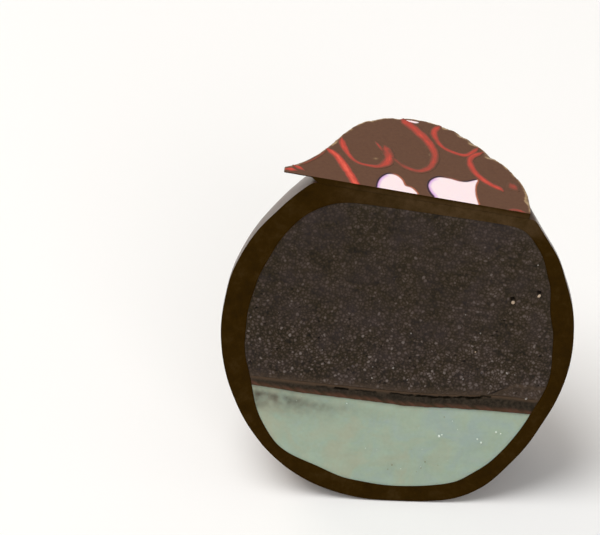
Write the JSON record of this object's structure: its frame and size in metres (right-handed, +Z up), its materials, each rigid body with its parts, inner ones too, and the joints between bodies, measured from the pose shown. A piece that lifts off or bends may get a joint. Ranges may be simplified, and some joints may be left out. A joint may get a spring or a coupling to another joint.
{
  "type": "chocolate praline",
  "caption": "Round dark chocolate praline cut in half, its shell filled with ganache, a thin chocolate layer and mint cream, with a thin printed chocolate plaque on top.",
  "frame": {"origin": "on the flat foot, straight below the middle of the ball", "axes": "+Z up from the foot, +X along the cut towards the side that the praline leans to, the cut face looks towards -Y"},
  "size_m": [0.0281, 0.0186, 0.0272],
  "materials": {
    "shell_chocolate": "satin dark chocolate",
    "ganache": "finely bubbled, cut",
    "layer_chocolate": "broken chocolate",
    "mint_cream": "soft, cut",
    "plaque_chocolate": "satin, printed"
  },
  "bodies": {
    "root": {"shell": "shell_chocolate", "ganache": "ganache", "chocolate_layer": "layer_chocolate", "mint_cream": "mint_cream", "plaque": "plaque_chocolate"}
  },
  "joints": []
}
